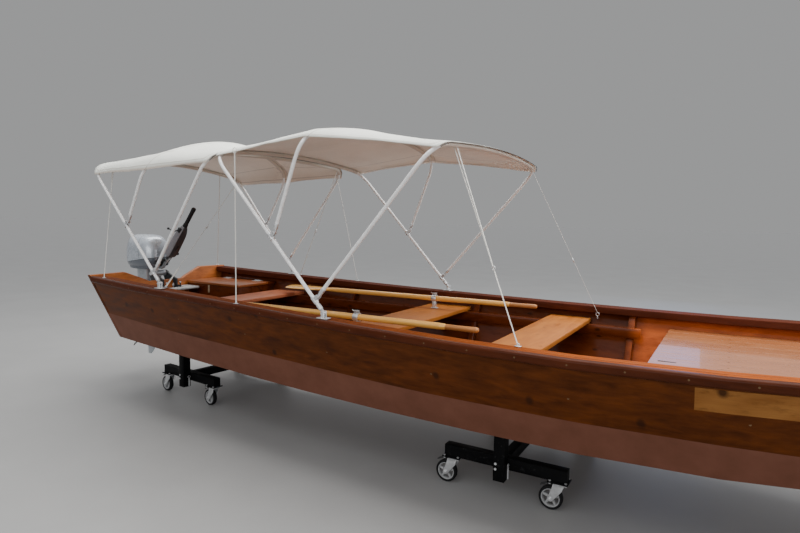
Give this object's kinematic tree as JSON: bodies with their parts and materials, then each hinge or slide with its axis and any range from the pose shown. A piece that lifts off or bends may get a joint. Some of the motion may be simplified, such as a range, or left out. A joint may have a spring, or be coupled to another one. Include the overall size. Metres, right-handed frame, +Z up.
{
  "type": "wooden river ferry boat",
  "caption": "Flat-bottomed varnished wooden river ferry with a tilting outboard motor, two folding awnings and oars, parked on two caster dollies",
  "frame": {"origin": "centre of the bounding box in plan, on the floor under the casters", "axes": "+X to the bow, +Y to port, +Z up"},
  "size_m": [7.758, 1.584, 1.8287],
  "materials": {
    "varnished_wood": "reddish-brown planks under clear gloss varnish",
    "light_wood": "orange-brown planks under clear gloss varnish",
    "oar_wood": "golden yellow wood, clear varnish",
    "bottom_paint": "matt red-brown bottom paint",
    "tray_plastic": "grey sheet plastic",
    "motor_casting": "satin dark grey paint on castings",
    "cowl_paint": "metallic silver-grey gloss paint",
    "black_plastic": "black moulded plastic and rubber",
    "bow_tube": "satin anodised tube",
    "awning_cloth": "off-white coated canvas",
    "fittings_steel": "bright zinc and stainless steel",
    "dolly_paint": "satin black paint on square tube",
    "caster_wheel": "black rubber tread on a grey rim"
  },
  "bodies": {
    "boat": {"bottom": "bottom_paint", "side_starboard": "varnished_wood", "side_port": "varnished_wood", "rail_starboard": "varnished_wood", "rail_port": "varnished_wood", "transom": "varnished_wood", "bow_board": "varnished_wood", "thwart_aft": "light_wood", "thwart_mid": "light_wood", "thwart_fore": "light_wood", "foredeck": "light_wood", "floorboards": "varnished_wood", "framing_starboard": "varnished_wood", "framing_port": "varnished_wood", "stern_box": "varnished_wood", "splash_tray": "tray_plastic", "motor_clamp": "motor_casting", "rear_hinge_starboard": "fittings_steel", "rear_hinge_port": "fittings_steel", "fore_hinge_starboard": "fittings_steel", "fore_hinge_port": "fittings_steel", "oar_starboard": "oar_wood", "oar_port": "oar_wood", "oar_clamp_starboard": "fittings_steel", "oar_clamp_port": "fittings_steel", "aft_dolly_frame": "dolly_paint", "fore_dolly_frame": "dolly_paint"},
    "lid": {"stern_box_lid": "varnished_wood"},
    "motor_bracket": {"swivel_bracket": "motor_casting"},
    "motor_head": {"motor_leg": "motor_casting", "motor_cowl": "cowl_paint"},
    "propeller": {"propeller": "black_plastic"},
    "tiller": {"tiller_arm": "black_plastic", "tiller_grip": "black_plastic"},
    "rear_main": {"rear_main_bow": "bow_tube", "rear_canopy": "awning_cloth"},
    "rear_mid": {"rear_mid_bow": "bow_tube"},
    "rear_front": {"rear_front_bow": "bow_tube"},
    "fore_main": {"fore_main_bow": "bow_tube", "fore_canopy": "awning_cloth"},
    "fore_mid": {"fore_mid_bow": "bow_tube"},
    "fore_front": {"fore_front_bow": "bow_tube"},
    "aft_fork_1": {"aft_fork_1": "fittings_steel"},
    "aft_wheel_1": {"aft_wheel_1": "caster_wheel"},
    "aft_fork_2": {"aft_fork_2": "fittings_steel"},
    "aft_wheel_2": {"aft_wheel_2": "caster_wheel"},
    "aft_fork_3": {"aft_fork_3": "fittings_steel"},
    "aft_wheel_3": {"aft_wheel_3": "caster_wheel"},
    "aft_fork_4": {"aft_fork_4": "fittings_steel"},
    "aft_wheel_4": {"aft_wheel_4": "caster_wheel"},
    "fore_fork_1": {"fore_fork_1": "fittings_steel"},
    "fore_wheel_1": {"fore_wheel_1": "caster_wheel"},
    "fore_fork_2": {"fore_fork_2": "fittings_steel"},
    "fore_wheel_2": {"fore_wheel_2": "caster_wheel"},
    "fore_fork_3": {"fore_fork_3": "fittings_steel"},
    "fore_wheel_3": {"fore_wheel_3": "caster_wheel"},
    "fore_fork_4": {"fore_fork_4": "fittings_steel"},
    "fore_wheel_4": {"fore_wheel_4": "caster_wheel"}
  },
  "joints": [
    {"name": "stern_box_lid_hinge", "type": "hinge", "parent": "boat", "child": "lid", "pos_m": [-3.15, 0.5, 0.775], "axis": [-1, 0, 0], "range_deg": [0, 80]},
    {"name": "motor_tilt", "type": "hinge", "parent": "boat", "child": "motor_bracket", "pos_m": [-3.57, 0, 0.838], "axis": [0, 1, 0], "range_deg": [0, 60]},
    {"name": "motor_steer", "type": "hinge", "parent": "motor_bracket", "child": "motor_head", "pos_m": [-3.642, 0, 0.838], "axis": [0, 0, -1], "range_deg": [-45, 45]},
    {"name": "propeller_spin", "type": "hinge", "parent": "motor_head", "child": "propeller", "pos_m": [-3.8, 0, 0.278], "axis": [1, 0, 0], "continuous": true},
    {"name": "tiller_lift", "type": "hinge", "parent": "motor_head", "child": "tiller", "pos_m": [-3.448, 0, 0.968], "axis": [0, -1, 0], "range_deg": [-52, 0]},
    {"name": "rear_fold", "type": "hinge", "parent": "boat", "child": "rear_main", "pos_m": [-2.716, 0, 0.874], "axis": [0, -1, 0], "range_deg": [0, 25], "deforming": ["rear_canopy"]},
    {"name": "rear_mid_fold", "type": "hinge", "parent": "rear_main", "child": "rear_mid", "pos_m": [-3.00676, 0, 1.25725], "axis": [0, -1, 0], "range_deg": [0, 63.5]},
    {"name": "rear_front_fold", "type": "hinge", "parent": "rear_main", "child": "rear_front", "pos_m": [-2.75089, 0, 0.96292], "axis": [0, -1, 0], "range_deg": [0, 70.5]},
    {"name": "fore_fold", "type": "hinge", "parent": "boat", "child": "fore_main", "pos_m": [-1.343, 0, 0.836], "axis": [0, 1, 0], "range_deg": [0, 123.5], "deforming": ["fore_canopy"]},
    {"name": "fore_mid_fold", "type": "hinge", "parent": "fore_main", "child": "fore_mid", "pos_m": [-1.66741, 0, 1.22434], "axis": [0, 1, 0], "range_deg": [-58.1, 0]},
    {"name": "fore_front_fold", "type": "hinge", "parent": "fore_main", "child": "fore_front", "pos_m": [-1.37623, 0, 0.91751], "axis": [0, 1, 0], "range_deg": [-77.8, 0]},
    {"name": "aft_swivel_1", "type": "hinge", "parent": "boat", "child": "aft_fork_1", "pos_m": [-3.15595, -0.22186, 0.12], "axis": [0, 0, 1], "continuous": true},
    {"name": "aft_roll_1", "type": "hinge", "parent": "aft_fork_1", "child": "aft_wheel_1", "pos_m": [-3.19078, -0.21844, 0.055], "axis": [0.0976, 0.9952, 0], "continuous": true},
    {"name": "aft_swivel_2", "type": "hinge", "parent": "boat", "child": "aft_fork_2", "pos_m": [-2.63445, -0.27299, 0.12], "axis": [0, 0, 1], "continuous": true},
    {"name": "aft_roll_2", "type": "hinge", "parent": "aft_fork_2", "child": "aft_wheel_2", "pos_m": [-2.66929, -0.26958, 0.055], "axis": [0.0976, 0.9952, 0], "continuous": true},
    {"name": "aft_swivel_3", "type": "hinge", "parent": "boat", "child": "aft_fork_3", "pos_m": [-3.09155, 0.43499, 0.12], "axis": [0, 0, 1], "continuous": true},
    {"name": "aft_roll_3", "type": "hinge", "parent": "aft_fork_3", "child": "aft_wheel_3", "pos_m": [-3.12638, 0.43841, 0.055], "axis": [0.0976, 0.9952, 0], "continuous": true},
    {"name": "aft_swivel_4", "type": "hinge", "parent": "boat", "child": "aft_fork_4", "pos_m": [-2.57005, 0.38386, 0.12], "axis": [0, 0, 1], "continuous": true},
    {"name": "aft_roll_4", "type": "hinge", "parent": "aft_fork_4", "child": "aft_wheel_4", "pos_m": [-2.60488, 0.38727, 0.055], "axis": [0.0976, 0.9952, 0], "continuous": true},
    {"name": "fore_swivel_1", "type": "hinge", "parent": "boat", "child": "fore_fork_1", "pos_m": [-0.75167, -0.41062, 0.12], "axis": [0, 0, 1], "continuous": true},
    {"name": "fore_roll_1", "type": "hinge", "parent": "fore_fork_1", "child": "fore_wheel_1", "pos_m": [-0.78667, -0.41111, 0.055], "axis": [-0.014, 0.9999, 0], "continuous": true},
    {"name": "fore_swivel_2", "type": "hinge", "parent": "boat", "child": "fore_fork_2", "pos_m": [-0.22772, -0.4033, 0.12], "axis": [0, 0, 1], "continuous": true},
    {"name": "fore_roll_2", "type": "hinge", "parent": "fore_fork_2", "child": "fore_wheel_2", "pos_m": [-0.26272, -0.40379, 0.055], "axis": [-0.014, 0.9999, 0], "continuous": true},
    {"name": "fore_swivel_3", "type": "hinge", "parent": "boat", "child": "fore_fork_3", "pos_m": [-0.76228, 0.3493, 0.12], "axis": [0, 0, 1], "continuous": true},
    {"name": "fore_roll_3", "type": "hinge", "parent": "fore_fork_3", "child": "fore_wheel_3", "pos_m": [-0.79728, 0.34882, 0.055], "axis": [-0.014, 0.9999, 0], "continuous": true},
    {"name": "fore_swivel_4", "type": "hinge", "parent": "boat", "child": "fore_fork_4", "pos_m": [-0.23833, 0.35662, 0.12], "axis": [0, 0, 1], "continuous": true},
    {"name": "fore_roll_4", "type": "hinge", "parent": "fore_fork_4", "child": "fore_wheel_4", "pos_m": [-0.27333, 0.35613, 0.055], "axis": [-0.014, 0.9999, 0], "continuous": true}
  ],
  "couplings": [
    {"joint": "rear_mid_fold", "follows": "rear_fold", "ratio": 2.54},
    {"joint": "rear_front_fold", "follows": "rear_fold", "ratio": 2.82},
    {"joint": "fore_mid_fold", "follows": "fore_fold", "ratio": -0.4704},
    {"joint": "fore_front_fold", "follows": "fore_fold", "ratio": -0.63}
  ]
}
